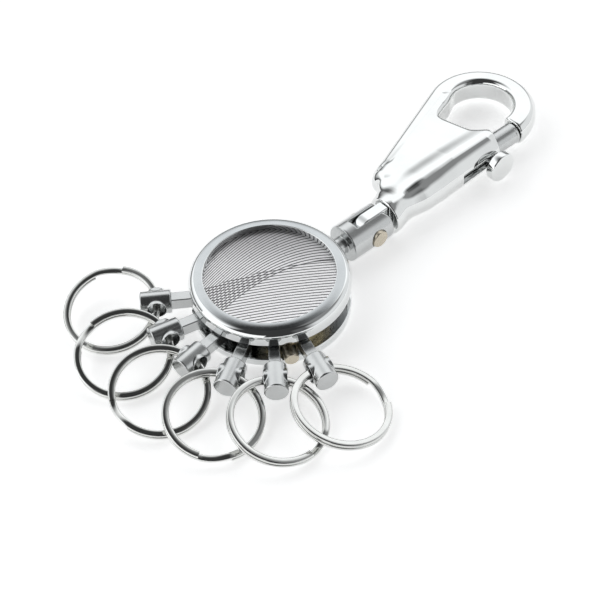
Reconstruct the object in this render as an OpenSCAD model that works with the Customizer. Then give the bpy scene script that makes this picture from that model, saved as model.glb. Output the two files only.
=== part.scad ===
// Round key organiser with six removable key rings and a swivelling bolt-snap carabiner.
// Millimetres. The body lies flat on the XY plane and is centred on the Z axis.
// The carabiner lies along +Y, and the six key rings fan out towards -Y.

/* [Body] */
// Radius of the round body over the bezel
body_r = 17; // [16:0.5:20]
// Full height of the body
body_h = 10.3; // [10.2:0.1:12]
// Radius of the recess that holds the inlay disc
inlay_r = 13.9; // [13:0.1:14.2]
// Thickness of the inlay disc
inlay_t = 0.5; // [0.3:0.1:0.6]
// Depth of the inlay face below the top of the bezel
inlay_depth = 1.3; // [1:0.1:1.4]

/* [Groove] */
// Height of the middle of the groove, and of the long axis of the clevis and snap
axis_z = 4.4; // [4.3:0.1:4.6]
// Height of the open mouth of the groove
mouth_h = 4.2; // [3.8:0.1:4.3]
// Height of the channel inside the groove
channel_h = 5.4; // [5.2:0.1:5.4]
// Radial thickness of the two lips that hold the ring holders in
lip_t = 1; // [0.8:0.1:1.2]
// Radius of the drum at the bottom of the groove
core_r = 13.2; // [12.8:0.1:13.4]

/* [Ring holders] */
// Radius of a holder's cylinder
holder_r = 2.5; // [2.4:0.05:2.6]
// Distance from the body's axis to the inner end of the cylinder
holder_start = 20.9; // [20.5:0.1:21.2]
// Distance from the body's axis to the outer end of the cylinder
holder_end = 27.4; // [27:0.1:28]
// Distance from the body's axis to the cross hole
hole_at = 24; // [23.8:0.1:24.2]
// Radius of the cross hole at its middle
hole_r = 1.6; // [1.55:0.05:1.65]
// Radius of the flared mouths of the cross hole
hole_mouth_r = 2.15; // [2.1:0.05:2.2]
// Angle between neighbouring holders round the groove
holder_pitch = 22; // [22:0.1:23]
// Angle of the first holder, measured from -Y towards +X
first_holder = -36; // [-40:1:-30]

/* [Key rings] */
// Outer radius of a split ring
ring_r = 10.3; // [10:0.1:10.4]
// Radial width of the ring wire
ring_w = 1.45; // [1.3:0.05:1.5]
// Height of one of the two turns of the ring
turn_h = 0.9; // [0.8:0.05:0.9]
// How far a ring tips down at its outer end
ring_tilt = 6; // [5:0.5:6.5]
// How far a ring leans sideways, so that it lies over the next one
ring_roll = 13; // [12:0.5:13.5]

/* [Release button] */
// Radius of the button
button_r = 1.5; // [1.3:0.05:1.5]
// Distance from the body's axis to the face of the button
button_face = 18.5; // [18:0.1:19]
// Travel of the button
button_travel = 3.8; // [3.6:0.1:3.9]

/* [Clevis] */
// Radius of the clevis
clevis_r = 4.3; // [4.1:0.05:4.35]
// Distance from the body's axis to the near face of the clevis
clevis_start = 20.4; // [20.2:0.1:20.8]
// Distance from the body's axis to the folding pin
pin_y = 27.3; // [27.3:0.1:27.6]
// Width of the slot between the ears
slot_w = 3; // [2.8:0.1:3.2]
// Radius of the folding pin
pin_r = 1.1; // [1:0.05:1.2]

/* [Carabiner] */
// Distance from the folding pin to the carabiner's foot
foot_gap = 5.3; // [5.3:0.1:5.6]
// Radius of the round foot
foot_r = 4.4; // [4.2:0.1:4.4]
// Largest radius of the barrel that holds the plunger
barrel_r = 4.2; // [4:0.1:4.3]
// Inner radius of the hook
hook_in_r = 7.3; // [7.2:0.1:7.4]
// Width of the hook across its band
hook_w = 5.7; // [5.5:0.1:5.8]
// Thickness of the hook
hook_t = 6.4; // [6:0.1:6.8]
// Radius of the plunger
plunger_r = 2.5; // [2.4:0.05:2.6]
// Travel of the plunger
plunger_travel = 7.5; // [7:0.1:7.6]
// Radius of the thumb knob
knob_r = 3.5; // [3:0.1:3.7]

/* [Hidden] */

holder_count = 6;
fine = 96;
small = 48;
fit = 0.05;          // running clearance on a radius
cut = 0.5;           // how far a cutter reaches past the face that it opens

// Heights in the body
mouth_low = axis_z - mouth_h / 2;
mouth_high = axis_z + mouth_h / 2;
channel_low = axis_z - channel_h / 2;
channel_high = axis_z + channel_h / 2;
lip_in_r = body_r - lip_t;
cover_t = 1;
cover_top = channel_high + cover_t;
inlay_top = body_h - inlay_depth;
inlay_seat = inlay_top - inlay_t;
shelf_w = 1.2;       // width of the ledge under the inlay disc
base_r = body_r - 0.1;

// Case screws
screw_angles = [30, 150, 240];
screw_at = 8.5;
screw_r = 1;
screw_head_r = 1.9;
screw_head_h = 0.9;
screw_top = cover_top - 0.2;
cross_w = 0.6;       // width of the cross recess

// Holder details
head_t = 1.05;
head_h = 4.7;
head_w = 2.4;
head_out = lip_in_r - 0.15;
stem_w = 2.4;
stem_h = 2.8;
holder_chamfer = 0.35;
boss_r = 2.4;
boss_half = 2.75;
hole_land = 0.6;     // half length of the straight middle of the cross hole

// Release button and its pocket in the core
button_angle = first_holder + holder_pitch * (holder_count - 1.5);
button_z = channel_low + button_r + 0.1;
button_start = 9;
collar_r = 2;
collar_t = 1;
pocket_start = 5.1;
button_bore_r = 0.95;
button_bore_end = 16.5;
button_edge = 0.2;
gate_w = 3.4;
spring_end = 12.6;

// Clevis and swivel link
stud_r = 2;
stud_start = 8;
ear_r = 5.1;
link_r = 3.8;
link_w = slot_w - 0.3;
slot_start = pin_y - link_r - 0.2;
pin_head_r = 1.95;
pin_tail_r = 1.6;
pin_seat = 3.8;
pin_head_t = 0.9;
foot_y = pin_y + foot_gap;
link_gap = 0.15;     // between the link's flat end and the carabiner's foot
shank_r = 1.7;
shank_head_r = 2.3;
shank_head_t = 1;
bore_start = 37;     // where the wide bore of the barrel begins

// Carabiner outline, in plan
hook_centre = [-10.1, 72.6];
hook_mid_r = hook_in_r + hook_w / 2;
hook_chamfer = 1.2;
nose_y = 73.05;
mouth_y = 65.5;
web_t = 5.2;
spine_r = 3.1;
spine_foot = [-8.2, 40.4];
spine_head = [-19.3, 69];
slot_low = 53.4;
slot_high = 64.4;
knob_slot_w = 2.5;

// Plunger and knob
plunger_start = 47;
plunger_gap = 0.15;
plunger_end = nose_y - plunger_gap;
plunger_hollow_r = 1.55;
plunger_hollow_end = 59;
knob_y = 62.6;
knob_stem_r = 1.1;
knob_start = 5;
knob_t = 2;
snap_spring_end = 51;

function holder_angle(i) = first_holder + holder_pitch * (i - 1);

// A solid turned about the Y axis, at the height of the long axis. Points are [radius, y].
module turned(points, sides = fine)
    translate([0, 0, axis_z]) rotate([-90, 0, 0]) rotate_extrude($fn = sides) polygon(points);

// A plain rod along Y, at the height of the long axis.
module rod_y(r, y0, y1, sides = small)
    translate([0, y0, axis_z]) rotate([-90, 0, 0]) cylinder(r = r, h = y1 - y0, $fn = sides);

// A plain rod along X, through the folding pin's line.
module pin_rod(r, x0, x1)
    translate([x0, pin_y, axis_z]) rotate([0, 90, 0]) cylinder(r = r, h = x1 - x0, $fn = small);

// Turns a shape that is drawn along -Y to an angle round the body.
module at_angle(angle)
    rotate([0, 0, angle]) children();

// A rod that points out along -Y at a given height.
module rod_out(r, from, to, z = axis_z)
    translate([0, -from, z]) rotate([90, 0, 0]) cylinder(r = r, h = to - from, $fn = small);

// Closed turns of a coil along Z, each a square-wire ring.
module coil(mid_r, wire, length, turns)
    for (k = [0 : turns - 1])
        translate([0, 0, k * (length - wire) / (turns - 1)])
            rotate_extrude($fn = small) translate([mid_r - wire / 2, 0]) square([wire, wire]);

module at_screws()
    for (angle = screw_angles)
        rotate([0, 0, angle]) translate([screw_at, 0, 0]) children();

module base_plate() {
    edge = 0.5;
    color("silver") difference() {
        rotate_extrude($fn = fine) polygon([
            [0, 0], [base_r - edge, 0], [base_r, edge], [base_r, mouth_low - 0.2],
            [base_r - 0.2, mouth_low], [lip_in_r, mouth_low], [lip_in_r, channel_low],
            [0, channel_low]]);
        at_screws() {
            translate([0, 0, -cut]) cylinder(r = screw_r, h = channel_low + 2 * cut, $fn = small);
            translate([0, 0, -cut]) cylinder(r = screw_head_r, h = screw_head_h + cut, $fn = small);
        }
        at_angle(button_angle)
            translate([-gate_w / 2, -body_r - cut, channel_low + 0.01])
                cube([gate_w, lip_t + 2 * cut, mouth_h]);
    }
}

module groove_core() {
    color("darkkhaki") difference() {
        translate([0, 0, channel_low])
            cylinder(r = core_r, h = channel_h, $fn = fine);
        at_screws()
            translate([0, 0, channel_low - cut])
                cylinder(r = screw_r, h = channel_h + 2 * cut, $fn = small);
        rod_y(stud_r, stud_start, core_r + cut);
        at_angle(button_angle) {
            rod_out(button_r + fit, pocket_start + 1, core_r + cut, button_z);
            translate([-collar_r - fit, -button_start - collar_t - fit, channel_low + 0.05])
                cube([2 * (collar_r + fit), button_start + collar_t + fit - pocket_start,
                    channel_high - channel_low]);
        }
    }
}

module cover_plate()
    color("gray") difference() {
        translate([0, 0, channel_high]) cylinder(r = lip_in_r, h = cover_t, $fn = fine);
        at_screws()
            translate([0, 0, channel_high - cut])
                cylinder(r = screw_r, h = screw_top - channel_high + cut, $fn = small);
    }

module bezel() {
    arc_r = 1.7;
    arc_mid = [body_r - arc_r, body_h - arc_r];
    shoulder = [for (a = [0 : 10 : 90]) arc_mid + arc_r * [cos(a), sin(a)]];
    color("gainsboro") rotate_extrude($fn = fine) polygon(concat(
        [[inlay_r - shelf_w, cover_top], [lip_in_r, cover_top], [lip_in_r, mouth_high],
            [body_r - 0.3, mouth_high], [body_r, mouth_high + 0.3]],
        shoulder,
        [[inlay_r + 0.1, body_h - 0.2], [inlay_r, body_h - 0.3], [inlay_r, inlay_seat],
            [inlay_r - shelf_w, inlay_seat]]));
}

module inlay_disc()
    color("whitesmoke") translate([0, 0, inlay_seat])
        cylinder(r = inlay_r - 0.02, h = inlay_t, $fn = fine);

module case_screws()
    color("dimgray") at_screws() difference() {
        union() {
            cylinder(r = screw_r, h = screw_top, $fn = small);
            translate([0, 0, 0.1]) cylinder(r = screw_head_r - fit, h = screw_head_h - 0.1,
                $fn = small);
        }
        for (turn = [0, 90])
            rotate([0, 0, turn]) translate([-1.2, -cross_w / 2, -cut])
                cube([2.4, cross_w, cut + 0.6]);
    }

module release_button()
    color("tan") at_angle(button_angle) difference() {
        union() {
            rod_out(button_r, button_start, button_face - button_edge, button_z);
            translate([0, -button_face + button_edge, button_z]) rotate([90, 0, 0])
                cylinder(r1 = button_r, r2 = button_r - button_edge, h = button_edge, $fn = small);
            intersection() {
                rod_out(collar_r, button_start, button_start + collar_t, button_z);
                translate([-body_r, -body_r, channel_low + 0.1])
                    cube([2 * body_r, 2 * body_r, channel_h - 0.2]);
            }
        }
        rod_out(button_bore_r, button_start - cut, button_bore_end, button_z);
    }

module button_spring()
    color("lightgray") at_angle(button_angle)
        translate([0, -pocket_start, button_z]) rotate([90, 0, 0])
            coil(0.65, 0.35, spring_end - pocket_start, 12);

module clevis() {
    edge = 0.3;
    color("lightgray") difference() {
        union() {
            intersection() {
                turned([[0, clevis_start], [clevis_r - edge, clevis_start],
                    [clevis_r, clevis_start + edge], [clevis_r, foot_y], [0, foot_y]]);
                union() {
                    pin_rod(ear_r, -body_r, body_r);
                    rod_y(clevis_r + 1, clevis_start - 1, pin_y);
                }
            }
            rod_y(stud_r, stud_start, clevis_start + 1);
        }
        translate([-slot_w / 2, slot_start, -clevis_r])
            cube([slot_w, body_r + body_r, 4 * clevis_r]);
        translate([-body_r, pin_y + ear_r - 0.85, -clevis_r])
            cube([2 * body_r, body_r, 4 * clevis_r]);
        pin_rod(pin_r, -body_r, body_r);
        pin_rod(pin_head_r + 0.1, pin_seat, body_r);
        pin_rod(pin_head_r + 0.1, -body_r, -pin_seat);
    }
}

module clevis_pin() {
    color("tan") union() {
        pin_rod(pin_r, -pin_seat - 0.1, pin_seat + 0.1);
        pin_rod(pin_head_r, pin_seat, pin_seat + pin_head_t - 0.2);
        translate([pin_seat + pin_head_t - 0.2, pin_y, axis_z]) rotate([0, 90, 0])
            cylinder(r1 = pin_head_r, r2 = pin_head_r - 0.3, h = 0.2, $fn = small);
        pin_rod(pin_tail_r, -pin_seat - 0.7, -pin_seat);
    }
}

module swivel_link()
    color("silver") difference() {
        union() {
            pin_rod(link_r, -link_w / 2, link_w / 2);
            translate([-link_w / 2, pin_y, axis_z - link_r])
                cube([link_w, foot_gap - link_gap, 2 * link_r]);
            rod_y(shank_r, foot_y - link_gap - 0.001, bore_start + 0.2);
            rod_y(shank_head_r, bore_start + 0.1, bore_start + 0.1 + shank_head_t);
        }
        pin_rod(pin_r + fit, -body_r, body_r);
    }

// The flat web between spine and barrel, in plan.
module web_outline()
    difference() {
        polygon([[0, foot_y + 0.3], [-4.2, foot_y + 0.3], [-5.2, 35.4], [-8.4, 37.4],
            [-10.8, 40.6], [-21.4, 68], hook_centre, [-1, 68], [0, mouth_y]]);
        polygon([[-14, 62.7], [-17.3, 72], hook_centre, [0.5, 73], [0.5, mouth_y],
            [-2.6, mouth_y], [-5, 64.2]]);
        translate(hook_centre) circle(r = hook_in_r, $fn = fine);
    }

module hook_section()
    polygon([
        [hook_in_r, hook_chamfer - hook_t / 2], [hook_in_r + hook_chamfer, -hook_t / 2],
        [hook_in_r + hook_w - hook_chamfer, -hook_t / 2],
        [hook_in_r + hook_w, hook_chamfer - hook_t / 2],
        [hook_in_r + hook_w, hook_t / 2 - hook_chamfer],
        [hook_in_r + hook_w - hook_chamfer, hook_t / 2],
        [hook_in_r + hook_chamfer, hook_t / 2], [hook_in_r, hook_t / 2 - hook_chamfer]]);

module spine() {
    run = spine_head - spine_foot;
    translate([spine_foot[0], spine_foot[1], axis_z]) {
        sphere(r = spine_r, $fn = small);
        rotate([0, 0, atan2(run[1], run[0])]) rotate([0, 90, 0])
            cylinder(r = spine_r, h = norm(run), $fn = small);
    }
}

module carabiner_body()
    color("gainsboro") difference() {
        union() {
            turned([[0, foot_y], [foot_r - 0.5, foot_y], [foot_r, foot_y + 0.5],
                [foot_r, 35.2], [3.7, 37.4], [3.7, 39], [barrel_r, 43], [barrel_r, 48],
                [3.5, 65], [3.2, mouth_y], [0, mouth_y]]);
            translate([0, 0, axis_z - web_t / 2])
                linear_extrude(height = web_t) web_outline();
            spine();
            translate([hook_centre[0], hook_centre[1], axis_z])
                rotate_extrude(angle = 203, $fn = fine) hook_section();
            rod_y(plunger_r, nose_y, nose_y + 1.5);
        }
        rod_y(shank_r + fit, foot_y - cut, bore_start + cut);
        rod_y(plunger_r + fit, bore_start, nose_y - 0.01);
        translate([0, slot_low, axis_z - knob_slot_w / 2])
            cube([2 * barrel_r, slot_high - slot_low, knob_slot_w]);
    }

module plunger()
    color("silver") difference() {
        union() {
            rod_y(plunger_r, plunger_start, plunger_end - 0.3);
            turned([[0, plunger_end - 0.3], [plunger_r, plunger_end - 0.3],
                [plunger_r - 0.3, plunger_end], [0, plunger_end]], small);
        }
        rod_y(plunger_hollow_r, plunger_start - cut, plunger_hollow_end);
        translate([0, knob_y, axis_z]) rotate([0, 90, 0])
            cylinder(r = knob_stem_r, h = body_r, $fn = small);
    }

module plunger_spring()
    color("lightgray") translate([0, bore_start + shank_head_t + 0.3, axis_z])
        rotate([-90, 0, 0])
            coil(1.15, 0.5, snap_spring_end - bore_start - shank_head_t - 0.3, 12);

module thumb_knob()
    color("silver") translate([0, knob_y, axis_z]) rotate([0, 90, 0]) {
        cylinder(r = knob_stem_r, h = knob_start + 0.1, $fn = small);
        rotate_extrude($fn = fine) polygon([
            [0, knob_start], [knob_r - 0.3, knob_start], [knob_r, knob_start + 0.3],
            [knob_r, knob_start + knob_t - 0.3], [knob_r - 0.3, knob_start + knob_t],
            [0, knob_start + knob_t]]);
    }

// One ring holder: a T-head in the groove, a flat stem, and a cylinder with a cross hole.
module holder(i)
    color("silver") at_angle(holder_angle(i)) difference() {
        union() {
            translate([-head_w / 2, -head_out, axis_z - head_h / 2])
                cube([head_w, head_t, head_h]);
            translate([-stem_w / 2, -holder_start - 0.5, axis_z - stem_h / 2])
                cube([stem_w, holder_start + 0.5 - head_out + 0.5, stem_h]);
            rod_out(holder_r, holder_start + holder_chamfer, holder_end - holder_chamfer);
            translate([0, -holder_start, axis_z]) rotate([90, 0, 0])
                cylinder(r1 = holder_r - holder_chamfer, r2 = holder_r, h = holder_chamfer,
                    $fn = small);
            translate([0, -holder_end + holder_chamfer, axis_z]) rotate([90, 0, 0])
                cylinder(r1 = holder_r, r2 = holder_r - holder_chamfer, h = holder_chamfer,
                    $fn = small);
            translate([-boss_half, -hole_at, axis_z]) rotate([0, 90, 0])
                cylinder(r = boss_r, h = 2 * boss_half, $fn = small);
        }
        translate([0, -hole_at, axis_z]) {
            rotate([0, 90, 0]) cylinder(r = hole_r, h = 4 * boss_half, center = true, $fn = small);
            for (side = [90, -90])
                rotate([0, side, 0]) translate([0, 0, hole_land])
                    cylinder(r1 = hole_r, r2 = hole_mouth_r, h = boss_half - hole_land + 0.001,
                        $fn = small);
        }
    }

// One split ring: two turns of flat wire, drawn closed, with a fine line between the turns.
module split_ring(i) {
    bevel = 0.18;
    seam = 0.1;
    in_r = ring_r - ring_w;
    color("lightgray") at_angle(holder_angle(i)) translate([0, -hole_at, axis_z])
        rotate([ring_tilt, 0, 0]) rotate([0, ring_roll, 0])
            translate([0, ring_w / 2 - ring_r, 0]) rotate_extrude($fn = fine) polygon([
                [in_r, bevel - turn_h], [in_r + bevel, -turn_h],
                [ring_r - bevel, -turn_h], [ring_r, bevel - turn_h],
                [ring_r, -seam], [ring_r - seam, 0], [ring_r, seam],
                [ring_r, turn_h - bevel], [ring_r - bevel, turn_h],
                [in_r + bevel, turn_h], [in_r, turn_h - bevel],
                [in_r, seam], [in_r + seam, 0], [in_r, -seam]]);
}

base_plate();
groove_core();
cover_plate();
bezel();
inlay_disc();
case_screws();
release_button();
button_spring();
clevis();
clevis_pin();
swivel_link();
carabiner_body();
plunger();
plunger_spring();
thumb_knob();
for (i = [1 : holder_count]) {
    holder(i);
    split_ring(i);
}
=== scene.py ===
"""Looks of the key organiser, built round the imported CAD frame.

Shapes are worked out in millimetres in the row frame: the body is centred on Z, the snap lies
along +Y and the key rings fan out towards -Y. Meshes are made in metres.
"""

import math

import bpy
import numpy as np
from mathutils import Matrix, Vector


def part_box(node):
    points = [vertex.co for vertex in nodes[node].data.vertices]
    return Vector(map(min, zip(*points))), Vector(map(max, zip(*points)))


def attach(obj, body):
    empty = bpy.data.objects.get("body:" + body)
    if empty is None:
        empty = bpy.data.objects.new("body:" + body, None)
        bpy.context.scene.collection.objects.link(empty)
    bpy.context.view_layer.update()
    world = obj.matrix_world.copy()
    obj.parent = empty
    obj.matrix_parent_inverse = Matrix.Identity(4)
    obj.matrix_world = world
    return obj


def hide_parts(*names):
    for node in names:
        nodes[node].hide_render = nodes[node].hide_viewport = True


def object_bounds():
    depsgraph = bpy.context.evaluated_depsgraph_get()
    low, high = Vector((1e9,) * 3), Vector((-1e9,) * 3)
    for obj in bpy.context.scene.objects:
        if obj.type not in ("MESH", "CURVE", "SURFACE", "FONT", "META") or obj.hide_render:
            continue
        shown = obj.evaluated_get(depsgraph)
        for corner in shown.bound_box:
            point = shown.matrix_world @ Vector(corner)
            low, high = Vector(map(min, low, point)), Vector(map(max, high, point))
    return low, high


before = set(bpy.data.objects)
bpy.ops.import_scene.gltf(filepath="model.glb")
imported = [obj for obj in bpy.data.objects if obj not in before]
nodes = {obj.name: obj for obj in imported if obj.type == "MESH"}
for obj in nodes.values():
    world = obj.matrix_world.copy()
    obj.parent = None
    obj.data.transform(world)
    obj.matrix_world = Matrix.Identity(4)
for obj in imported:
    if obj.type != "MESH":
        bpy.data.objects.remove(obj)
cad_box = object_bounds()

MM = 0.001
TURN = 2 * math.pi


def low_high(node):
    """Lowest and highest corner of a CAD node, in millimetres."""
    return [np.array(corner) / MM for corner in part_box(node)]


# ---------------------------------------------------------------- sizes, read from the frame
bezel_high = low_high("bezel")[1]
inlay_high = low_high("inlay_disc")[1]
core_low, core_high = low_high("groove_core")
pin_low, pin_high = low_high("clevis_pin")
plunger_low, plunger_high = low_high("plunger")
knob_low, knob_high = low_high("thumb_knob")
snap_low = low_high("carabiner_body")[0]

BODY_R = bezel_high[0]
BODY_TOP = bezel_high[2]
INLAY_R = inlay_high[0] + 0.02
INLAY_TOP = inlay_high[2]
CHANNEL = (core_low[2], core_high[2])
AXIS_Z = (plunger_low[2] + plunger_high[2]) / 2
PIN_Y = (pin_low[1] + pin_high[1]) / 2
PLUNGER_R = plunger_high[0]
PLUNGER_END = plunger_high[1]
KNOB_Y = (knob_low[1] + knob_high[1]) / 2
KNOB_R = (knob_high[1] - knob_low[1]) / 2
FOOT_Y = snap_low[1]

# ---------------------------------------------------------------- sizes, as the CAD part has them
MOUTH = (AXIS_Z - 2.1, AXIS_Z + 2.1)
LIP_IN_R = BODY_R - 1
HOLDERS = 6
FIRST_ANGLE = -36
PITCH_ANGLE = 22
HOLE_AT = 24
RING_R = 10.3
RING_W = 1.45
TURN_H = 0.9
RING_TILT = 6
RING_ROLL = 13
BUTTON_ANGLE = FIRST_ANGLE + PITCH_ANGLE * (HOLDERS - 1.5)
BUTTON_Z = CHANNEL[0] + 1.6
CLEVIS_R = 4.3
CLEVIS_START = 20.4
EAR_END = PIN_Y + 4.25
EAR_R = 5.1
SLOT_HALF = 1.5
STUD_R = 2
PIN_SEAT = 3.8                      # from the middle to the seats of the pin's head and tail
LINK_HALF = 1.35
LINK_R = 3.8
SHANK_R = 1.7
HOOK_MID = (-10.1, 72.6)
HOOK_OUT_R = 12.97
HOOK_EYE = (-10.25, 73.0)
HOOK_EYE_R = 7.3
HOOK_HALF_T = 3.2
NOSE_Y = 73.05
BARREL_END = 65.5
PLAY = 0.05                         # round a moving part


# ---------------------------------------------------------------- distance fields
def smooth_min(a, b, k):
    """Union of two fields with a fillet about k wide."""
    h = np.clip(0.5 + 0.5 * (b - a) / k, 0, 1)
    return b + (a - b) * h - k * h * (1 - h)


def smooth_max(a, b, k):
    """Intersection of two fields with a rounded edge about k wide."""
    return -smooth_min(-a, -b, k)


def cut_from(solid, tool, k):
    """Solid less tool, with its new edges rounded."""
    return smooth_max(solid, -tool, k)


def box_field(p, centre, half, r):
    """A box with edges of radius r."""
    q = np.abs(p - np.array(centre)) - (np.array(half) - r)
    return np.linalg.norm(np.maximum(q, 0), axis=-1) + np.minimum(q.max(-1), 0) - r


def slab_field(outline, height, half, r):
    """A plan outline's field given a thickness, with edges of radius r."""
    a, b = outline + r, np.abs(height) - half + r
    return np.hypot(np.maximum(a, 0), np.maximum(b, 0)) + np.minimum(np.maximum(a, b), 0) - r


def bar_field(p, a, b, r):
    """A round bar with round ends from a to b."""
    a, b = np.array(a), np.array(b)
    run = b - a
    t = np.clip(((p - a) @ run) / (run @ run), 0, 1)
    return np.linalg.norm(p - a - t[..., None] * run, axis=-1) - r


def outline_field(x, y, points):
    """Signed distance to a closed plan outline, below zero inside it."""
    best = np.full(x.shape, 1e9)
    inside = np.zeros(x.shape, bool)
    for (ax, ay), (bx, by) in zip(points, np.roll(points, -1, 0)):
        ex, ey = bx - ax, by - ay
        t = np.clip(((x - ax) * ex + (y - ay) * ey) / (ex * ex + ey * ey), 0, 1)
        best = np.minimum(best, np.hypot(x - ax - t * ex, y - ay - t * ey))
        crosses = (ay > y) != (by > y)
        at = ax + (y - ay) * ex / (ey if ey else 1e-12)
        inside ^= crosses & (x < at)
    return np.where(inside, -best, best)


def rounded_outline(corners, steps=8):
    """A plan outline whose corners, given as (x, y, radius), are rounded."""
    out = []
    count = len(corners)
    for i, (x, y, r) in enumerate(corners):
        here = np.array([x, y])
        ends = []
        for other in (corners[i - 1], corners[(i + 1) % count]):
            run = np.array(other[:2]) - here
            length = np.linalg.norm(run)
            ends.append(here + run / length * min(r, 0.48 * length))
        for t in np.linspace(0, 1, steps if r else 1):
            out.append((1 - t) ** 2 * ends[0] + 2 * t * (1 - t) * here + t * t * ends[1])
    return np.array(out)


def surface_net(field, low, high, pitch, settle=3):
    """Quads over the surface where field is zero. Every corner is moved onto the surface itself.
    Returns the corners, the quads and the surface's direction at each corner."""
    axes = [np.arange(low[k] - 1.5 * pitch, high[k] + 2.5 * pitch, pitch) for k in range(3)]
    grid = np.stack(np.meshgrid(*axes, indexing="ij"), -1)
    value = field(grid)
    inside = value < 0
    cells = tuple(n - 1 for n in value.shape)
    total, hits = np.zeros(cells + (3,)), np.zeros(cells)
    crossings = []
    for axis in range(3):
        lower = [slice(None)] * 3
        upper = [slice(None)] * 3
        lower[axis], upper[axis] = slice(0, -1), slice(1, None)
        a, b = value[tuple(lower)], value[tuple(upper)]
        cross = inside[tuple(lower)] != inside[tuple(upper)]
        share = np.where(cross, a / np.where(cross, a - b, 1), 0)
        point = grid[tuple(lower)].copy()
        point[..., axis] += share * pitch
        crossings.append((cross, inside[tuple(lower)]))
        others = [k for k in range(3) if k != axis]
        for i in (0, 1):
            for j in (0, 1):
                window = [slice(None)] * 3
                for k, shift in zip(others, (i, j)):
                    window[k] = slice(shift, shift + cells[k])
                window = tuple(window)
                total += np.where(cross[window][..., None], point[window], 0)
                hits += cross[window]
    used = hits > 0
    number = np.full(cells, -1)
    number[used] = np.arange(used.sum())
    corners = total[used] / hits[used][:, None]
    quads = []
    for axis, (cross, starts_inside) in enumerate(crossings):
        u, v = [(1, 2), (2, 0), (0, 1)][axis]
        where = np.argwhere(cross)
        where = where[(where[:, u] > 0) & (where[:, v] > 0)]
        step_u, step_v = np.eye(3, dtype=int)[u], np.eye(3, dtype=int)[v]
        loop = [where - step_u - step_v, where - step_v, where, where - step_u]
        quad = np.stack([number[tuple(c.T)] for c in loop], -1)
        outward = starts_inside[tuple(where.T)]
        quads.append(np.where(outward[:, None], quad, quad[:, ::-1]))
    quads = np.concatenate(quads)

    def slope(p):
        h = 0.01
        steps = np.eye(3) * h
        return np.stack([field(p + s) - field(p - s) for s in steps], -1) / (2 * h)

    def onto_surface(p):
        for _ in range(3):
            g = slope(p)
            move = (field(p) / np.maximum((g * g).sum(-1), 0.05))[:, None] * g
            p = p - np.clip(move, -pitch, pitch)
        return p

    edges = np.concatenate([quads[:, [k, (k + 1) % 4]] for k in range(4)])
    corners = onto_surface(corners)
    for _ in range(settle):
        total = np.zeros_like(corners)
        count = np.zeros(len(corners))
        for a, b in (edges.T, edges.T[::-1]):
            for k in range(3):
                total[:, k] += np.bincount(a, corners[b, k], len(corners))
            count += np.bincount(a, minlength=len(corners))
        corners = onto_surface(0.5 * corners + 0.5 * total / count[:, None])
    g = slope(corners)
    return corners, quads, g / np.linalg.norm(g, axis=-1, keepdims=True)


# ---------------------------------------------------------------- mesh makers
def add_piece(name, mesh, body, material, replaced=(), place=Matrix.Identity(4)):
    """Moves a finished mesh to its place and puts it in the scene, riding on its body."""
    mesh.transform(place)
    piece = bpy.data.objects.new(name, mesh)
    bpy.context.scene.collection.objects.link(piece)
    mesh.materials.append(material)
    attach(piece, body)
    if replaced:
        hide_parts(*replaced)
    return piece


def store_along(mesh, values):
    """Keeps each corner's distance along the piece, in millimetres, for the tool marks."""
    mesh.attributes.new("along", "FLOAT", "POINT").data.foreach_set(
        "value", np.array(values, np.float32))


def field_mesh(name, field, low, high, pitch, settle=3):
    """A smooth mesh of a distance field drawn in millimetres."""
    corners, quads, normals = surface_net(field, low, high, pitch, settle)
    mesh = bpy.data.meshes.new(name)
    mesh.from_pydata((corners * MM).tolist(), [], quads.tolist())
    mesh.polygons.foreach_set("use_smooth", np.ones(len(mesh.polygons), bool))
    mesh.update()
    mesh.normals_split_custom_set_from_vertices(normals.tolist())
    store_along(mesh, corners[:, 1])
    return mesh


def arc(cx, cy, r, start, end, steps=8):
    """Points on an arc, in degrees."""
    return [(cx + r * math.cos(math.radians(a)), cy + r * math.sin(math.radians(a)))
            for a in np.linspace(start, end, steps + 1)]


def lathe(name, profile, sides=144, sharp=35):
    """Turns a closed profile of (radius, height) about Z. Points at radius 0 become the poles."""
    rows, faces = [], []
    verts = []
    for r, h in profile:
        if r < 1e-6:
            rows.append([len(verts)])
            verts.append((0, 0, h * MM))
        else:
            rows.append(list(range(len(verts), len(verts) + sides)))
            for k in range(sides):
                a = TURN * k / sides
                verts.append((r * math.cos(a) * MM, r * math.sin(a) * MM, h * MM))
    for one, two in zip(rows, rows[1:] + rows[:1]):
        if len(one) == 1 and len(two) == 1:
            continue
        for k in range(sides):
            n = (k + 1) % sides
            if len(one) == 1:
                faces.append((one[0], two[n], two[k]))
            elif len(two) == 1:
                faces.append((one[k], one[n], two[0]))
            else:
                faces.append((one[k], one[n], two[n], two[k]))
    mesh = bpy.data.meshes.new(name)
    mesh.from_pydata(verts, [], faces)
    mesh.polygons.foreach_set("use_smooth", np.ones(len(mesh.polygons), bool))
    mesh.set_sharp_from_angle(angle=math.radians(sharp))
    store_along(mesh, [(2 * math.hypot(x, y) + z) / MM for x, y, z in verts])
    mesh.update()
    return mesh


def along_y(y, z=AXIS_Z):
    """Places a lathe's Z axis along +Y, at the height of the long axis."""
    return Matrix.Translation((0, y * MM, z * MM)) @ Matrix.Rotation(-math.pi / 2, 4, "X")


def round_body(angle):
    """Turns a piece about the body's axis, in degrees."""
    return Matrix.Rotation(math.radians(angle), 4, "Z")


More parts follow.
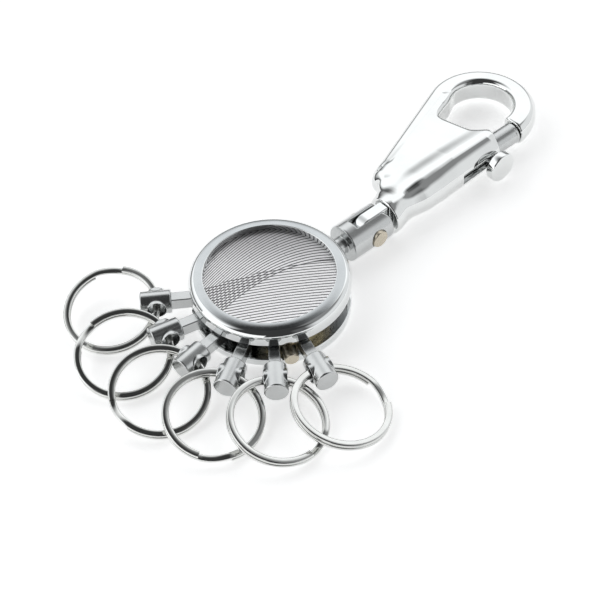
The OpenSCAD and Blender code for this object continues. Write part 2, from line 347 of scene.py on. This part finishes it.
# ---------------------------------------------------------------- materials
class Nodes:
    """A short way to lay out a node tree."""

    def __init__(self, name):
        self.material = bpy.data.materials.new(name)
        self.material.use_nodes = True
        self.tree = self.material.node_tree
        self.shader = self.tree.nodes["Principled BSDF"]

    def add(self, kind, **values):
        node = self.tree.nodes.new("ShaderNode" + kind)
        for key, value in values.items():
            if hasattr(node, key):
                setattr(node, key, value)
            else:
                node.inputs[key.replace("_", " ")].default_value = value
        return node

    def link(self, out, into):
        self.tree.links.new(out, into)

    def coordinates(self, scale=(1000, 1000, 1000)):
        """Object coordinates in millimetres, or stretched by another scale."""
        place = self.add("TexCoord").outputs["Object"]
        mapping = self.add("Mapping")
        mapping.inputs["Scale"].default_value = scale
        self.link(place, mapping.inputs["Vector"])
        return mapping.outputs["Vector"]

    def noise(self, vector, scale, detail=3.0, rough=0.5):
        node = self.add("TexNoise")
        node.inputs["Scale"].default_value = scale
        node.inputs["Detail"].default_value = detail
        node.inputs["Roughness"].default_value = rough
        self.link(vector, node.inputs["Vector"])
        return node.outputs["Fac"]

    def ramp(self, value, stops):
        node = self.add("ValToRGB")
        ramp = node.color_ramp
        while len(ramp.elements) < len(stops):
            ramp.elements.new(0.5)
        for element, (position, colour) in zip(ramp.elements, stops):
            element.position = position
            element.color = (*colour, 1)
        self.link(value, node.inputs["Fac"])
        return node.outputs["Color"]

    def spread(self, value, low, high, start=0.0, end=1.0):
        """A value moved from the range start to end onto the range low to high."""
        node = self.add("MapRange")
        for key, number in (("From Min", start), ("From Max", end), ("To Min", low),
                            ("To Max", high)):
            node.inputs[key].default_value = number
        self.link(value, node.inputs["Value"])
        return node.outputs["Result"]

    def math(self, operation, a, b=None):
        node = self.add("Math", operation=operation)
        for k, value in enumerate((a, b)):
            if isinstance(value, (int, float)):
                node.inputs[k].default_value = value
            elif value is not None:
                self.link(value, node.inputs[k])
        return node.outputs["Value"]

    def bump(self, height, distance, strength=1.0, normal=None):
        node = self.add("Bump")
        node.inputs["Strength"].default_value = strength
        node.inputs["Distance"].default_value = distance * MM
        self.link(height, node.inputs["Height"])
        if normal:
            self.link(normal, node.inputs["Normal"])
        return node.outputs["Normal"]


def metal(name, pale, dark, rough, wave=0.004, marks=0.0, mark_depth=0.0, grain=None,
          grain_depth=0.0):
    """A metal with a slight tone change, uneven gloss and a faint waviness of the polish.
    marks are tool marks, so many to a millimetre along the piece; grain is stretched noise."""
    m = Nodes(name)
    m.shader.inputs["Metallic"].default_value = 1
    place = m.coordinates()
    cloud = m.noise(place, 0.16, 4)
    m.link(m.ramp(cloud, [(0.3, dark), (0.7, pale)]), m.shader.inputs["Base Color"])
    haze = m.noise(place, 1.3, 6, 0.65)
    m.link(m.spread(haze, rough[0], rough[1], 0.3, 0.7), m.shader.inputs["Roughness"])
    normal = m.bump(m.noise(place, 0.35, 1), wave)
    if grain:
        streaks = m.noise(m.coordinates(tuple(1000 * g for g in grain)), 1.0, 3, 0.6)
        normal = m.bump(streaks, grain_depth, 1.0, normal)
    if marks:
        along = m.add("Attribute", attribute_name="along").outputs["Fac"]
        cuts = m.add("TexNoise", noise_dimensions="1D")
        cuts.inputs["Scale"].default_value = marks
        cuts.inputs["Detail"].default_value = 2
        m.link(along, cuts.inputs["W"])
        normal = m.bump(cuts.outputs["Fac"], mark_depth, 1.0, normal)
    m.link(normal, m.shader.inputs["Normal"])
    return m.material


INLAY_TURN = 51                     # degrees
STEEP_GAP, GENTLE_GAP = 0.8, 0.76   # between the printed lines of the two families


def inlay_material():
    """Satin disc printed with two families of fine curved lines that cross in a wedge, on a ground
    with painted shade that goes from near white at the lower right to grey at the top.
    """
    m = Nodes("inlay_print")
    place = m.coordinates()
    split = m.add("SeparateXYZ")
    m.link(place, split.inputs["Vector"])
    x, y = split.outputs["X"], split.outputs["Y"]
    # turned so that the lines run from side to side as seen with the rings in front
    turn = math.radians(INLAY_TURN)
    across = m.math("ADD", m.math("MULTIPLY", x, math.cos(turn)),
                    m.math("MULTIPLY", y, math.sin(turn)))
    up = m.math("SUBTRACT", m.math("MULTIPLY", y, math.cos(turn)),
                m.math("MULTIPLY", x, math.sin(turn)))

    def curve(start, level, slope, bend):
        """A parabola over the disc's width: its height where across is start, slope and bend."""
        run = m.math("SUBTRACT", across, start)
        rise = m.math("ADD", m.math("MULTIPLY", run, slope), level)
        return m.math("ADD", rise, m.math("MULTIPLY", m.math("MULTIPLY", run, run), bend))

    def lines(path, gap, width):
        """1 on the lines of one family, 0 between them."""
        wave = m.math("PINGPONG", m.math("SUBTRACT", up, path), gap / 2)
        return m.spread(wave, 1.0, 0.0, gap / 2 * width, gap / 2 * (width + 0.12))

    wedge_low = curve(12, 3.8, 0, -0.0265)
    wedge_top = curve(5.8, 3.2, 0.2, -0.004)
    steep = lines(wedge_low, STEEP_GAP, 0.26)
    gentle = lines(curve(0, 0, 0.13, -0.004), GENTLE_GAP, 0.24)
    above = m.spread(m.math("SUBTRACT", up, wedge_low), 0.0, 1.0, -0.1, 0.1)
    below = m.spread(m.math("SUBTRACT", wedge_top, up), 0.0, 1.0, -0.1, 0.1)
    ink = m.math("MAXIMUM", m.math("MULTIPLY", steep, above), m.math("MULTIPLY", gentle, below))
    edge = m.math("ABSOLUTE", m.math("SUBTRACT", up, wedge_low))
    ink = m.math("MAXIMUM", ink, m.spread(edge, 1.0, 0.0, 0.06, 0.17))
    # painted shade: the ground is near white towards the lower right and darkens to grey towards
    # the top
    shade = m.spread(m.math("ADD", up, m.math("MULTIPLY", across, 0.1)), 0, 1, -13, 14)
    base = m.ramp(shade, [(0.0, (0.98, 0.97, 0.98)), (0.6, (0.84, 0.83, 0.84)),
                          (1.0, (0.34, 0.335, 0.34))])
    # the ink is print; its shift to darker and redder towards one side is painted shade
    print_with_painted_shade = m.ramp(m.spread(across, 0, 1, -13, 3),
                          [(0.0, (0.02, 0.012, 0.012)), (1.0, (0.05, 0.05, 0.055))])
    mix = m.add("Mix", data_type="RGBA")
    m.link(ink, mix.inputs["Factor"])
    m.link(base, mix.inputs[6])
    m.link(print_with_painted_shade, mix.inputs[7])
    m.link(mix.outputs[2], m.shader.inputs["Base Color"])
    m.link(m.spread(ink, 0.6, 0.05), m.shader.inputs["Metallic"])
    grain = m.noise(m.coordinates((220, 3800, 1000)), 1.0, 2)
    m.link(m.spread(grain, 0.26, 0.4, 0.3, 0.7), m.shader.inputs["Roughness"])
    m.link(m.bump(ink, 0.02, 0.4), m.shader.inputs["Normal"])
    return m.material


def core_material():
    """The drum in the groove: painted near black as shade in the groove, with a warm pale patch of
    painted light on the side of the last holder.
    """
    m = Nodes("core_metal")
    m.shader.inputs["Metallic"].default_value = 1
    place = m.coordinates()
    split = m.add("SeparateXYZ")
    m.link(place, split.inputs["Vector"])
    cloud = m.spread(m.noise(place, 0.5, 4), -3.0, 3.0)
    side = m.math("ADD", split.outputs["X"], m.math("MULTIPLY", split.outputs["Y"], -0.15))
    # painted shade and light: near black in the groove, warming to a pale olive patch of painted
    # light towards the last holder
    m.link(m.ramp(m.spread(m.math("ADD", side, cloud), 0, 1, 8, 13.5),
                  [(0.0, (0.05, 0.055, 0.055)), (0.5, (0.13, 0.12, 0.09)),
                   (1.0, (0.50, 0.42, 0.24))]), m.shader.inputs["Base Color"])
    m.link(m.spread(m.noise(place, 1.2, 5), 0.2, 0.34, 0.3, 0.7), m.shader.inputs["Roughness"])
    streaks = m.noise(m.coordinates((500, 500, 9000)), 1.0, 3)
    m.link(m.bump(streaks, 0.006), m.shader.inputs["Normal"])
    return m.material


chrome_case = metal("chrome_case", (0.77, 0.785, 0.785), (0.72, 0.735, 0.735), (0.025, 0.06),
                    wave=0.002)
chrome_snap = metal("chrome_snap", (0.78, 0.79, 0.785), (0.73, 0.74, 0.735), (0.035, 0.075),
                    wave=0.003)
# the lip: rougher than the chrome, and darker in colour as painted shade on the same polished ring
satin_lip_painted_shade = metal("satin_lip_painted_shade", (0.52, 0.54, 0.55), (0.47, 0.49, 0.50), (0.1, 0.18),
                  grain=(2, 2, 2), grain_depth=0.003)
satin_holder = metal("satin_holder", (0.58, 0.59, 0.59), (0.52, 0.53, 0.53), (0.2, 0.25),
                     marks=7, mark_depth=0.0006)
ring_steel = metal("ring_steel", (0.70, 0.705, 0.69), (0.60, 0.605, 0.59), (0.06, 0.12),
                   marks=9, mark_depth=0.004)
warm_nickel = metal("warm_nickel", (0.66, 0.60, 0.49), (0.56, 0.505, 0.41), (0.24, 0.36),
                    marks=9, mark_depth=0.006)
inner_steel = metal("inner_steel", (0.60, 0.60, 0.60), (0.48, 0.48, 0.49), (0.28, 0.4),
                    grain=(6, 6, 1), grain_depth=0.005)
spring_steel = metal("spring_steel", (0.68, 0.68, 0.68), (0.56, 0.56, 0.57), (0.18, 0.28),
                     grain=(1, 1, 14), grain_depth=0.003)
inlay_print = inlay_material()
core_metal = core_material()


# ---------------------------------------------------------------- body
SHOULDER_R = 1.7
SHOULDER_TURN = 72                  # degrees of the shoulder's arc, up to the edge of the lip
LIP_OUT_R = BODY_R - SHOULDER_R * (1 - math.cos(math.radians(SHOULDER_TURN)))
LIP_EDGE = (INLAY_R + 0.16, BODY_TOP)
LIP_RISE = (LIP_OUT_R - LIP_EDGE[0]) / 2 / math.tan(math.radians(SHOULDER_TURN))


def bezel_mesh():
    """Polished ring: wall round the inlay, satin lip with painted shade in its darker colour,
    round shoulder, skirt over the groove.
    """
    lip_low = BODY_TOP - LIP_RISE
    shoulder = arc(BODY_R - SHOULDER_R,
                   lip_low - SHOULDER_R * math.sin(math.radians(SHOULDER_TURN)), SHOULDER_R, 0,
                   SHOULDER_TURN, 20)
    lip = [(LIP_OUT_R + t * (LIP_EDGE[0] - LIP_OUT_R), lip_low + LIP_RISE * t * (2 - t))
           for t in np.linspace(0, 1, 9)[1:]]
    profile = [(INLAY_R - 1.2, CHANNEL[1] + 1), (LIP_IN_R, CHANNEL[1] + 1),
               (LIP_IN_R, MOUTH[1])]
    profile += arc(BODY_R - 0.25, MOUTH[1] + 0.25, 0.25, 270, 360, 4)
    profile += shoulder + lip
    profile += arc(LIP_EDGE[0], LIP_EDGE[1] - 0.15, 0.15, 90, 180, 4)
    profile += [(INLAY_R, INLAY_TOP - 0.5), (INLAY_R - 1.2, INLAY_TOP - 0.5)]
    mesh = lathe("bezel_ring", profile, 192, 32)
    for face in mesh.polygons:
        r = math.hypot(face.center.x, face.center.y) / MM
        on_top = face.center.z / MM > BODY_TOP - LIP_RISE
        on_lip = on_top and LIP_EDGE[0] < r < LIP_OUT_R - 0.02
        face.material_index = int(on_lip)
    return mesh


bezel = add_piece("bezel_ring", bezel_mesh(), "body", chrome_case, ["bezel"])
# the lip's metal, darker as painted shade
bezel.data.materials.append(satin_lip_painted_shade)


# ---------------------------------------------------------------- clevis, pin and link
def clevis_field(p):
    """Slotted cylinder with two rounded ears and a stud into the body."""
    x, y, z = p[..., 0], p[..., 1], p[..., 2]
    rho = np.hypot(x, z)
    barrel = slab_field(rho - CLEVIS_R, y - (CLEVIS_START + EAR_END + 2) / 2,
                        (EAR_END + 2 - CLEVIS_START) / 2, 0.3)
    ears = np.hypot(y - PIN_Y, z) - EAR_R
    body = np.where(y > PIN_Y, smooth_max(barrel, ears, 0.35), barrel)
    body = smooth_max(body, y - EAR_END, 0.35)
    slot = box_field(p, (0, PIN_Y + 6, 0), (SLOT_HALF, 10, 6), 0.1)
    body = cut_from(body, slot, 0.25)
    stud = np.maximum(rho - STUD_R, y - CLEVIS_START - 1)
    stud = np.maximum(stud, LIP_IN_R - 3 - y)
    body = smooth_min(body, stud, 0.3)
    seat = np.hypot(y - PIN_Y, z) - 2.05
    return cut_from(body, np.maximum(seat, PIN_SEAT - np.abs(x)), 0.12)


def link_field(p):
    """Tongue between the ears, and the swivel shank."""
    x, y, z = p[..., 0], p[..., 1], p[..., 2]
    plate = np.where(y < PIN_Y, np.hypot(y - PIN_Y, z) - LINK_R, np.abs(z) - LINK_R)
    plate = smooth_max(plate, y - (FOOT_Y - 0.15), 0.1)
    plate = slab_field(plate, x, LINK_HALF, 0.25)
    shank = np.maximum(np.hypot(x, z) - SHANK_R, np.abs(y - (FOOT_Y + 2)) - 2.6)
    return smooth_min(plate, shank, 0.1)


def pin_mesh():
    """Folding pin, along its own Z: domed head, shaft and riveted tail."""
    tail, seat, top = pin_low[0], PIN_SEAT, pin_high[0]
    return lathe("pin", [(0, tail)] + arc(1.25, tail + 0.35, 0.35, 270, 360, 4)
                 + [(1.6, -seat), (1.1, -seat), (1.1, seat)]
                 + [(1.95, seat)] + arc(1.73, top - 0.22, 0.22, 0, 90, 5)
                 + [(1.0, top - 0.02), (0, top)], 64)


axis_place = Matrix.Translation((0, 0, AXIS_Z * MM))
add_piece("clevis_fork", field_mesh("clevis_fork", clevis_field, (-4.4, 12.5, -4.4),
                                    (4.4, 31.8, 4.4), 0.17),
          "body", satin_holder, ["clevis"], axis_place)
add_piece("swivel_tongue", field_mesh("swivel_tongue", link_field, (-1.8, 23, -4),
                                      (1.8, 37.5, 4), 0.15),
          "swivel_link", chrome_case, ["swivel_link"], axis_place)
add_piece("folding_pin", pin_mesh(), "body", warm_nickel, ["clevis_pin"],
          Matrix.Translation((0, PIN_Y * MM, AXIS_Z * MM)) @ Matrix.Rotation(math.pi / 2, 4, "Y"))


# ---------------------------------------------------------------- snap
# place along the snap and radius there: foot, waist and barrel
BARREL = [(FOOT_Y, 4.4), (34.6, 4.3), (37.9, 3.3), (39.4, 3.5), (43, 4.2), (48, 4.2),
          (BARREL_END, 3.45)]
BORE = (36.8, 73.2)
KNOB_SLOT = (53.4, 64.4)
KNOB_SLOT_HALF = 1.25
DEEP = -9.0                         # a field value far inside, where a cut has no effect


def barrel_radius(y):
    """Radius of the snap along its axis, eased over a millimetre each way."""
    at, radius = zip(*BARREL)
    return sum(np.interp(y + s, at, radius) for s in (-1, -0.5, 0, 0.5, 1)) / 5


BACK_R = 3.3                        # roundness of the outer side of hook and spine
FOOT_BALL_R = 3.15
SPINE_W = 5.7
WEB_HALF_T = 3.1
WEB_RISE = 0.9                      # that its half thickness gains towards the barrel
SPINE_DOWN = np.array([0.3626, -0.9320])     # direction from the hook down the spine
SPINE_OUT = np.array([-0.9320, -0.3626])
SPINE_LENGTH = 30.7
WEB = rounded_outline([
    (1, 34.0, 0), (-3.9, 34.3, 0.8), (-6.9, 37.0, 1.5), (-9.2, 39.8, 0), (-18.9, 68.6, 0),
    (-12, 80, 0), (-4, 73.5, 0), (1, 64, 0)])
OPENING = rounded_outline([
    (-14.0, 62.6, 1.6), (-17.2, 71.5, 0), (-12, 77, 0), (2.5, 73.5, 0), (3.4, 66.4, 0),
    (-1.2, 66.0, 1.2), (-4.6, 64.2, 2.4)])


def carabiner_field(p):
    """The casting: flat web, round spine, hook band with a round back, and the barrel."""
    x, y, z = p[..., 0], p[..., 1], p[..., 2]
    rho = np.hypot(x, z)
    from_x, from_y = x - HOOK_MID[0], y - HOOK_MID[1]
    down = from_x * SPINE_DOWN[0] + from_y * SPINE_DOWN[1]
    on_spine = (down > 0) & (from_x < 0)
    # distance outward from the back of hook and spine, which are one smooth line
    out = np.where(on_spine, from_x * SPINE_OUT[0] + from_y * SPINE_OUT[1],
                   np.hypot(from_x, from_y)) - HOOK_OUT_R
    eye = HOOK_EYE_R - np.hypot(x - HOOK_EYE[0], y - HOOK_EYE[1])
    onto_spine = np.where(on_spine, np.clip(down / 4, 0, 1), 0)
    inner = onto_spine * (-out - SPINE_W) + (1 - onto_spine) * eye
    band = slab_field(np.maximum(out, inner), z, HOOK_HALF_T, 1.7)
    band = smooth_max(band, np.hypot(np.maximum(out + BACK_R - 0.05, 0), z) - BACK_R, 0.5)
    band = smooth_max(band, np.where(on_spine, down - SPINE_LENGTH, DEEP), 1.5)
    band = smooth_max(band, np.where((from_x > 0) & (y < NOSE_Y + 3), NOSE_Y - y, DEEP), 0.6)
    back_line = SPINE_OUT * (HOOK_OUT_R - BACK_R + 0.05) + HOOK_MID
    foot = back_line + SPINE_DOWN * SPINE_LENGTH
    spine = bar_field(p, (*(foot - 2 * SPINE_DOWN), 0), (*foot, 0), FOOT_BALL_R)
    band = smooth_max(smooth_min(band, spine, 0.8), np.abs(z) - WEB_HALF_T, 0.5)
    # the web rises towards the barrel, so that the valley between them is shallow
    rise = WEB_RISE * np.clip((x + 12) / 10.5, 0, 1) * np.clip((y - 38) / 15, 0, 1)
    web = slab_field(outline_field(x, y, WEB), z / (1 + rise / WEB_HALF_T), WEB_HALF_T, 1.4)
    opening = np.minimum(outline_field(x, y, OPENING), -eye)
    web = cut_from(web, opening, 1.6)
    whole = smooth_min(web, band, 0.8)
    barrel = smooth_max(rho - barrel_radius(y), np.maximum(FOOT_Y - y, y - BARREL_END), 0.5)
    whole = smooth_min(whole, barrel, 3.0)
    whole = smooth_max(whole, np.where(np.abs(x) < 6, FOOT_Y - y, DEEP), 0.4)
    # nothing of it goes below the floor of the row frame
    whole = smooth_max(whole, 0.02 - AXIS_Z - z, 0.2)
    bore = np.maximum(rho - PLUNGER_R - PLAY, np.maximum(BORE[0] - y, y - BORE[1]))
    shank = np.maximum(rho - SHANK_R - PLAY, np.abs(y - 35) - 5)
    whole = cut_from(whole, np.minimum(bore, shank), 0.2)
    slot_mid, slot_half = sum(KNOB_SLOT) / 2, (KNOB_SLOT[1] - KNOB_SLOT[0]) / 2
    slot = box_field(p, (5, slot_mid, 0), (5, slot_half, KNOB_SLOT_HALF), 0.5)
    return cut_from(whole, slot, 0.25)


add_piece("snap_casting", field_mesh("snap_casting", carabiner_field, (-23.4, 32.3, -4.6),
                                     (4.6, 85.7, 4.6), 0.26),
          "carabiner", chrome_snap, ["carabiner_body"], axis_place)

plunger_start = plunger_low[1]
PLUNGER_BORE_R, PLUNGER_BORE_END = 1.55, 59
GROOVE_DEPTH = 0.12                 # of the fine groove round the plunger's end
add_piece("snap_plunger", lathe("snap_plunger", [
    (PLUNGER_BORE_R, plunger_start), (PLUNGER_R, plunger_start), (PLUNGER_R, PLUNGER_END - 1.05),
    (PLUNGER_R - GROOVE_DEPTH, PLUNGER_END - 0.95),
    (PLUNGER_R - GROOVE_DEPTH, PLUNGER_END - 0.85),
    (PLUNGER_R, PLUNGER_END - 0.75), (PLUNGER_R, PLUNGER_END - 0.3)]
    + arc(PLUNGER_R - 0.3, PLUNGER_END - 0.3, 0.3, 10, 90, 5)
    + [(0, PLUNGER_END), (0, PLUNGER_BORE_END), (PLUNGER_BORE_R, PLUNGER_BORE_END)], 96),
    "plunger", satin_holder, ["plunger"], along_y(0))

knob_face, knob_back = knob_high[0], 5
KNOB_STEM_R = 1.1
add_piece("snap_knob", lathe("snap_knob", [
    (0, 0), (KNOB_STEM_R, 0), (KNOB_STEM_R, 4.35), (KNOB_STEM_R + 0.4, knob_back - 0.05),
    (KNOB_R - 0.25, knob_back)]
    + arc(KNOB_R - 0.25, knob_back + 0.25, 0.25, 270, 360, 5)
    + arc(KNOB_R - 0.32, knob_face - 0.32, 0.32, 0, 90, 6)
    + [(0.9, knob_face - 0.04), (0, knob_face - 0.04)], 96),
    "plunger", chrome_snap, ["thumb_knob"],
    Matrix.Translation((0, KNOB_Y * MM, AXIS_Z * MM)) @ Matrix.Rotation(math.pi / 2, 4, "Y"))


# ---------------------------------------------------------------- ring holders
HOLDER_R = 2.5
BOSS_R, BOSS_HALF = 2.1, 2.65
STEM_HALF_W, STEM_HALF_H = 1.2, 1.4
HEAD_HALF_L, HEAD_HALF_H = 0.525, 2.35
HOLE_R, HOLE_FLARE = 1.57, 0.45


def holder_field(p):
    """One holder, drawn along -Y: T-head, flat stem, turned cylinder with a bossed cross hole."""
    x, y, z = p[..., 0], -p[..., 1], p[..., 2]
    start, end = 20.9, 27.4
    rho = np.hypot(x, z)
    cylinder = slab_field(rho - HOLDER_R, y - (start + end) / 2, (end - start) / 2, 0.3)
    across = np.hypot(y - HOLE_AT, z)
    boss = slab_field(across - BOSS_R, x, BOSS_HALF, 0.4)
    solid = smooth_min(cylinder, boss, 0.2)
    stem = box_field(p, (0, -(LIP_IN_R + start) / 2, 0),
                     (STEM_HALF_W, (start - LIP_IN_R) / 2 + 0.7, STEM_HALF_H), 0.2)
    head = box_field(p, (0, -(LIP_IN_R - 0.15 - HEAD_HALF_L), 0),
                     (STEM_HALF_W, HEAD_HALF_L, HEAD_HALF_H), 0.2)
    solid = smooth_min(solid, np.minimum(stem, head), 0.25)
    hole_r = HOLE_R + HOLE_FLARE * np.clip((np.abs(x) - 0.6) / 2.15, 0, 1)
    return cut_from(solid, across - hole_r, 0.2)


holder_mesh = field_mesh("holder", holder_field, (-2.9, -27.6, -2.7), (2.9, -14.6, 2.7), 0.15)
for i in range(HOLDERS):
    name = f"holder_{i + 1}"
    place = round_body(FIRST_ANGLE + PITCH_ANGLE * i) @ axis_place
    add_piece(f"turned_{name}", holder_mesh.copy(), name, satin_holder, [name],
              place)


# ---------------------------------------------------------------- split rings
def split_ring_mesh(name, step_at):
    """Two turns of flat wire. The wire climbs by its own height over a short step, where the
    two cut ends show."""
    step, sides, gap, squareness = 0.62, 220, 0.06, 0.6
    half_w, half_h = RING_W / 2, TURN_H / 2 - gap / 2
    section = []
    for c, z in arc(0, 0, 1, 0, 360, 20)[:-1]:
        section.append((half_w * math.copysign(abs(c) ** squareness, c),
                        half_h * math.copysign(abs(z) ** squareness, z)))
    end = 2 * TURN - step - 0.05
    verts, faces = [], []
    count = len(section)
    for k in range(2 * sides + 1):
        a = end * k / (2 * sides)
        climb = np.clip((a - (TURN - step)) / step, 0, 1)
        height = TURN_H * (climb * climb * (3 - 2 * climb) - 0.5)
        for dr, dz in section:
            r = RING_R - half_w + dr
            verts.append((r * math.cos(a + step_at) * MM, r * math.sin(a + step_at) * MM,
                          (height + dz) * MM))
    for k in range(2 * sides):
        for j in range(count):
            n = (j + 1) % count
            faces.append((k * count + j, k * count + n, (k + 1) * count + n, (k + 1) * count + j))
    faces.append(tuple(range(count))[::-1])
    faces.append(tuple(range(2 * sides * count, (2 * sides + 1) * count)))
    mesh = bpy.data.meshes.new(name)
    mesh.from_pydata(verts, [], [f[::-1] for f in faces])
    mesh.polygons.foreach_set("use_smooth", np.ones(len(mesh.polygons), bool))
    mesh.set_sharp_from_angle(angle=math.radians(50))
    store_along(mesh, [0.4 * (k % count) for k in range(len(verts))])
    mesh.update()
    return mesh


for i in range(HOLDERS):
    name = f"split_ring_{i + 1}"
    place = (round_body(FIRST_ANGLE + PITCH_ANGLE * i)
             @ Matrix.Translation((0, -HOLE_AT * MM, AXIS_Z * MM))
             @ Matrix.Rotation(math.radians(RING_TILT), 4, "X")
             @ Matrix.Rotation(math.radians(RING_ROLL), 4, "Y")
             @ Matrix.Translation((0, (RING_W / 2 - RING_R) * MM, 0)))
    add_piece(f"wire_{name}", split_ring_mesh(name, math.radians(200 + 37 * i)), name,
              ring_steel, [name], place)


# ---------------------------------------------------------------- button and springs
button_face, button_r, button_edge = 18.5, 1.5, 0.22
flange_r, flange_back, flange_front = 2.0, 9, 10
spring_hole_r, spring_hole_end = 0.95, 16.5
add_piece("button_cap", lathe("button_cap", [
    (spring_hole_r, flange_back), (flange_r, flange_back), (flange_r, flange_front),
    (button_r, flange_front)]
    + arc(button_r - button_edge, button_face - button_edge, button_edge, 0, 90, 5)
    + [(0, button_face), (0, spring_hole_end), (spring_hole_r, spring_hole_end)], 64),
    "release_button", warm_nickel, ["release_button"],
    round_body(BUTTON_ANGLE) @ Matrix.Translation((0, 0, BUTTON_Z * MM))
    @ Matrix.Rotation(math.pi / 2, 4, "X"))

# ---------------------------------------------------------------- CAD pieces that stay
for name, material in (("base_plate", chrome_case), ("groove_core", core_metal),
                       ("cover_plate", inner_steel), ("case_screws", inner_steel),
                       ("inlay_disc", inlay_print), ("button_spring", spring_steel),
                       ("plunger_spring", spring_steel)):
    nodes[name].data.materials.clear()
    nodes[name].data.materials.append(material)


# ---------------------------------------------------------------- floor, light and camera
def floor_material():
    """Plain pale floor that stays near white in its own soft shadows."""
    m = Nodes("pale_floor")
    place = m.coordinates()
    m.link(m.ramp(m.noise(place, 0.02, 3), [(0.3, (0.90, 0.90, 0.90)), (0.7, (0.92, 0.92, 0.92))]),
           m.shader.inputs["Base Color"])
    m.shader.inputs["Roughness"].default_value = 0.9
    m.shader.inputs["Specular IOR Level"].default_value = 0.1
    m.shader.inputs["Emission Color"].default_value = (1, 1, 1, 1)
    m.shader.inputs["Emission Strength"].default_value = 0.52
    return m.material


FLOOR_R = 2.2                       # metres
FLOOR_SIDES = 96
floor_mesh = bpy.data.meshes.new("floor")
rim = [(FLOOR_R * math.cos(TURN * k / FLOOR_SIDES), FLOOR_R * math.sin(TURN * k / FLOOR_SIDES), 0)
       for k in range(FLOOR_SIDES)]
floor_mesh.from_pydata(rim, [], [tuple(range(FLOOR_SIDES))])
floor_mesh.materials.append(floor_material())
floor = bpy.data.objects.new("floor", floor_mesh)
bpy.context.scene.collection.objects.link(floor)
floor.location.z = cad_box[0][2] - 0.0001

# The camera looks at the body from the ring side; directions below are counted from it.
CAMERA_AZIMUTH = math.radians(51.418)
CAMERA_ELEVATION = math.radians(47.351)
CAMERA_ROLL = math.radians(-3.388)
CAMERA_DISTANCE = 0.321734
CAMERA_TARGET = Vector((0.006179, 0.002756, 0.005))
CAMERA_LENS = 92.72


def toward(azimuth, elevation):
    """A direction in degrees: azimuth 0 is the camera's side and grows to its right."""
    a = CAMERA_AZIMUTH + math.radians(azimuth)
    e = math.radians(elevation)
    return Vector((math.sin(a) * math.cos(e), -math.cos(a) * math.cos(e), math.sin(e)))


def softbox(name, azimuth, elevation, width, height, radiance, distance=0.6):
    """A rectangular light that faces the object, with its sides in metres."""
    light = bpy.data.lights.new(name, "AREA")
    light.shape = "RECTANGLE"
    light.size, light.size_y = width, height
    light.energy = radiance * math.pi * width * height
    lamp = bpy.data.objects.new(name, light)
    bpy.context.scene.collection.objects.link(lamp)
    direction = toward(azimuth, elevation)
    lamp.location = direction * distance
    lamp.rotation_euler = direction.to_track_quat("Z", "Y").to_euler()


softbox("left_softbox", -52, 12, 1.05, 0.36, 1.3)

# Light cards round the studio, in degrees: azimuth of the middle, half width, lower and upper
# edge in elevation, softness of the edges, and brightness.
STUDIO_CARDS = [
    (-150, 88, 15, 62, 14, 1.35),       # sky, on the far side and to the left
    (105, 45, 32, 80, 14, 0.3),         # dim upper right
    (98, 50, -12, 42, 12, 0.95),        # low window to the right
    (42, 16, -12, 50, 8, 0.14),         # faint light beside the camera
    (165, 40, -12, 26, 8, 0.15),        # far horizon
]


UNLIT = 0.05                        # brightness between the cards


def studio_world():
    """Light cards against near black, so that polished metal keeps its dark edges."""
    world = bpy.data.worlds.new("studio")
    world.use_nodes = True
    tree = world.node_tree
    place = tree.nodes.new("ShaderNodeTexCoord").outputs["Generated"]

    def combine(operation, a, b):
        node = tree.nodes.new("ShaderNodeMath")
        node.operation = operation
        for into, value in zip(node.inputs, (a, b)):
            if isinstance(value, (int, float)):
                into.default_value = value
            else:
                tree.links.new(value, into)
        return node.outputs["Value"]

    def along(direction):
        """How far the looked-at direction runs along another one."""
        dot = tree.nodes.new("ShaderNodeVectorMath")
        dot.operation = "DOT_PRODUCT"
        dot.inputs[1].default_value = direction
        tree.links.new(place, dot.inputs[0])
        return dot.outputs["Value"]

    def fade(value, dark_at, light_at):
        soft = tree.nodes.new("ShaderNodeMapRange")
        soft.interpolation_type = "SMOOTHSTEP"
        soft.inputs["From Min"].default_value = dark_at
        soft.inputs["From Max"].default_value = light_at
        tree.links.new(value, soft.inputs["Value"])
        return soft.outputs["Result"]

    def sine(angle):
        return math.sin(math.radians(angle))

    def cosine(angle):
        return math.cos(math.radians(angle))

    height = along((0, 0, 1))
    level = combine("SQRT", combine("SUBTRACT", 1.0001, combine("MULTIPLY", height, height)), 0)
    light = UNLIT
    for azimuth, half_width, low, high, soft, brightness in STUDIO_CARDS:
        aside = combine("DIVIDE", along(toward(azimuth, 0)), level)
        card = fade(aside, cosine(half_width + soft), cosine(half_width - soft))
        card = combine("MULTIPLY", card, fade(height, sine(low - soft), sine(low + soft)))
        if high < 90:
            card = combine("MULTIPLY", card, fade(height, sine(high + soft), sine(high - soft)))
        light = combine("MAXIMUM", light, combine("MULTIPLY", card, brightness))
    background = tree.nodes["Background"]
    background.inputs["Color"].default_value = (0.975, 0.99, 1, 1)
    tree.links.new(light, background.inputs["Strength"])
    return world


bpy.context.scene.world = studio_world()

camera_data = bpy.data.cameras.new("camera")
camera_data.lens = CAMERA_LENS
camera_data.sensor_width = 36
camera = bpy.data.objects.new("camera", camera_data)
bpy.context.scene.collection.objects.link(camera)
back = toward(0, math.degrees(CAMERA_ELEVATION))
right = Vector((math.cos(CAMERA_AZIMUTH), math.sin(CAMERA_AZIMUTH), 0))
up = back.cross(right)
rolled_right = right * math.cos(CAMERA_ROLL) + up * math.sin(CAMERA_ROLL)
rolled_up = up * math.cos(CAMERA_ROLL) - right * math.sin(CAMERA_ROLL)
camera.matrix_world = Matrix.Translation(CAMERA_TARGET + back * CAMERA_DISTANCE) @ Matrix(
    (rolled_right, rolled_up, back)).transposed().to_4x4()
bpy.context.scene.camera = camera
bpy.context.scene.view_settings.view_transform = "Standard"
